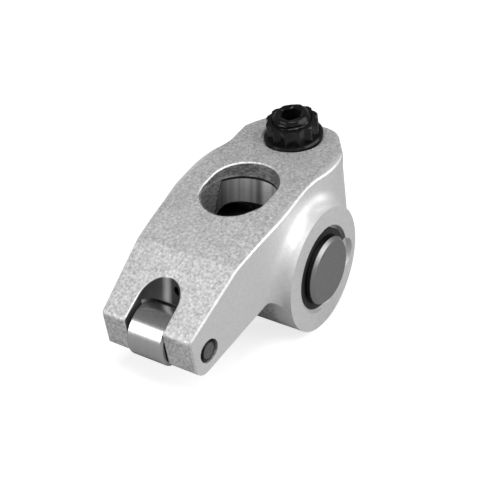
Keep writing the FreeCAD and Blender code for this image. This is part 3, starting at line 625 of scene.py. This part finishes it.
def closed_tube(name, rows, first_pole, last_pole):
    """Mesh from rows of (radius, height) round the adjuster's axis, closed by a point on the
    axis at each end, whose heights are the poles. Point number = row * sides + side."""
    radius, height = (np.array(column)[..., None] for column in zip(*rows))
    across, along = radius * np.cos(ANGLES)[:, None], radius * np.sin(ANGLES)[:, None]
    points = (ADJUSTER_FOOT + across * ADJUSTER_SIDE + along * np.array([0.0, 1.0, 0.0])
              + height * ADJUSTER_UP).reshape(-1, 3)
    poles = ADJUSTER_FOOT + np.array([[first_pole], [last_pole]]) * ADJUSTER_UP
    count, sides = len(rows), len(ANGLES)
    row, side = np.meshgrid(np.arange(count - 1), np.arange(sides), indexing="ij")
    after = (side + 1) % sides
    quads = np.stack([row * sides + side, (row + 1) * sides + side,
                      (row + 1) * sides + after, row * sides + after], -1).reshape(-1, 4)
    around = np.arange(sides)
    onward = (around + 1) % sides
    first, last = np.full(sides, count * sides), np.full(sides, count * sides + 1)
    final_row = (count - 1) * sides
    start = np.stack([first, around, onward], -1)
    end = np.stack([last, final_row + onward, final_row + around], -1)
    faces = quads.tolist() + start.tolist() + end.tolist()
    mesh = bpy.data.meshes.new(name)
    mesh.from_pydata(np.vstack([points, poles]).tolist(), [], faces)
    mesh.shade_smooth()
    mesh.set_sharp_from_angle(angle=SHARP_ANGLE)
    made = bpy.data.objects.new(name, mesh)
    bpy.context.scene.collection.objects.link(made)
    return made


screw = closed_tube("threaded_screw", screw_rows(), SCREW_TOP - SOCKET_DEPTH,
                    SCREW_FOOT + CUP_BALL - CUP_BALL_DROP)
screw.data.materials.append(BLACK)
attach(screw, "screw")
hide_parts("adjuster_screw")
print("screw:", len(screw.data.polygons), "faces")

# %% [markdown]
# ## Floor, light and camera
# The photograph is a plain studio shot on white: the floor and the background are one pale
# tone, and only a soft shadow shows under the hub. A bright floor would fill the dark sides of
# the metal with light, though, and they are dark in the photograph. So the floor is grey to
# the metal and white only to the camera. The same holds for the world: the metal sees it dim,
# and dimmest high up behind the object, which is what the top face mirrors.

# %% Floor and world
FLOOR_TONES = grey(0.34), grey(0.37)
FLOOR_SHINE = 0.1
FLOOR_GLOW = 0.76
REACH = 3.0
# Direction in which the studio is dark, high up behind the object. It darkens over this range
# of the cosine to that direction, from the first strength to the second.
DARK_SIDE = Vector((0.45, 0.5, 0.74)).normalized()
DARKENING = -0.2, 0.8
WORLD_STRENGTH = 0.42, 0.20


def seen_by_camera(tree):
    """One for light that reaches the camera straight from the surface, otherwise zero."""
    return tree.nodes.new("ShaderNodeLightPath").outputs["Is Camera Ray"]


def white_floor():
    """Grey floor that glows up to white, but only for the camera."""
    material, tree, shader = new_finish("white_floor", roughness=0.9, metallic=0.0)
    colour = mix(tree, noise(tree, object_place(tree), scale=6.0), *FLOOR_TONES)
    link(tree, colour, shader.inputs["Base Color"])
    shader.inputs["Specular IOR Level"].default_value = FLOOR_SHINE
    shader.inputs["Emission Color"].default_value = grey(1.0)
    glow = times(tree, seen_by_camera(tree), FLOOR_GLOW)
    link(tree, glow, shader.inputs["Emission Strength"])
    return material


mesh = bpy.data.meshes.new("floor")
corners = [(x * REACH, y * REACH, FLOOR_Z) for x, y in ((-1, -1), (1, -1), (1, 1), (-1, 1))]
mesh.from_pydata(corners, [], [(0, 1, 2, 3)])
floor = bpy.data.objects.new("floor", mesh)
floor.data.materials.append(white_floor())
bpy.context.scene.collection.objects.link(floor)

world = bpy.data.worlds.new("studio")
bpy.context.scene.world = world
world.use_nodes = True
sky = world.node_tree
background = sky.nodes["Background"]
ahead = sky.nodes.new("ShaderNodeVectorMath")
ahead.operation = "DOT_PRODUCT"
ahead.inputs[1].default_value = DARK_SIDE
link(sky, sky.nodes.new("ShaderNodeTexCoord").outputs["Generated"], ahead.inputs[0])
dim = spread(sky, ahead.outputs["Value"], *DARKENING, *WORLD_STRENGTH)
strength = calc(sky, "MAXIMUM", dim, seen_by_camera(sky))
link(sky, strength, background.inputs["Strength"])
background.inputs["Color"].default_value = grey(1.0)
bpy.context.scene.view_settings.view_transform = "Standard"
print("floor", 2 * REACH, "m wide, world strength from", WORLD_STRENGTH)


# %% [markdown]
# Each soft light is a square panel aimed at the object. The overhead panel lights the top
# face, the front panel the near side and the white band on the rounding beside the hub, and
# the left panel draws the bright band along the roller.

# %% Light panels
def panel(name, direction, distance, size, power):
    """Square area light out along a direction from the origin, facing the origin."""
    light = bpy.data.lights.new(name, "AREA")
    light.shape, light.size, light.energy = "SQUARE", size, power
    lamp = bpy.data.objects.new(name, light)
    away = Vector(direction).normalized()
    lamp.location = away * distance
    lamp.rotation_mode = "QUATERNION"
    lamp.rotation_quaternion = away.to_track_quat("Z", "Y")
    bpy.context.scene.collection.objects.link(lamp)
    return lamp


LAMPS = [panel("overhead", (-0.3, -0.1, 0.95), distance=0.6, size=0.3, power=2.1),
         panel("front", (0.2, -0.75, 0.6), distance=0.7, size=0.6, power=3.6),
         panel("left", (-0.81, 0.48, 0.34), distance=0.6, size=0.36, power=1.45)]
print("lamps:", [lamp.name for lamp in LAMPS])

# %% [markdown]
# The camera stands where the photographer's did, between the nose and the near side: 57
# degrees round from the side view, and looking 29 degrees down. Its three directions make the
# matrix directly, so no constraint is needed. It stands back from the origin by its distance,
# and to the right and up by small shifts that set the object where the photograph has it.

# %% Camera
AZIMUTH, ELEVATION = math.radians(-57.102), math.radians(28.746)
DISTANCE_MM, SHIFT_RIGHT_MM, SHIFT_UP_MM = 283.66, -3.75, 1.87
LENS_MM, SENSOR_MM = 85.88, 36.0
NEAREST, FURTHEST = 0.01, 20.0
back = Vector((math.sin(AZIMUTH) * math.cos(ELEVATION),
               -math.cos(AZIMUTH) * math.cos(ELEVATION), math.sin(ELEVATION)))
right = Vector((math.cos(AZIMUTH), math.sin(AZIMUTH), 0))
up = back.cross(right)
lens = bpy.data.cameras.new("camera")
lens.sensor_width, lens.lens = SENSOR_MM, LENS_MM
lens.clip_start, lens.clip_end = NEAREST, FURTHEST
camera = bpy.data.objects.new("camera", lens)
bpy.context.scene.collection.objects.link(camera)
place = (back * DISTANCE_MM + right * SHIFT_RIGHT_MM + up * SHIFT_UP_MM) * MM
turn = Matrix((right, up, back)).transposed().to_4x4()
camera.matrix_world = Matrix.Translation(place) @ turn
bpy.context.scene.camera = camera
print("camera at", [round(value, 4) for value in camera.location])
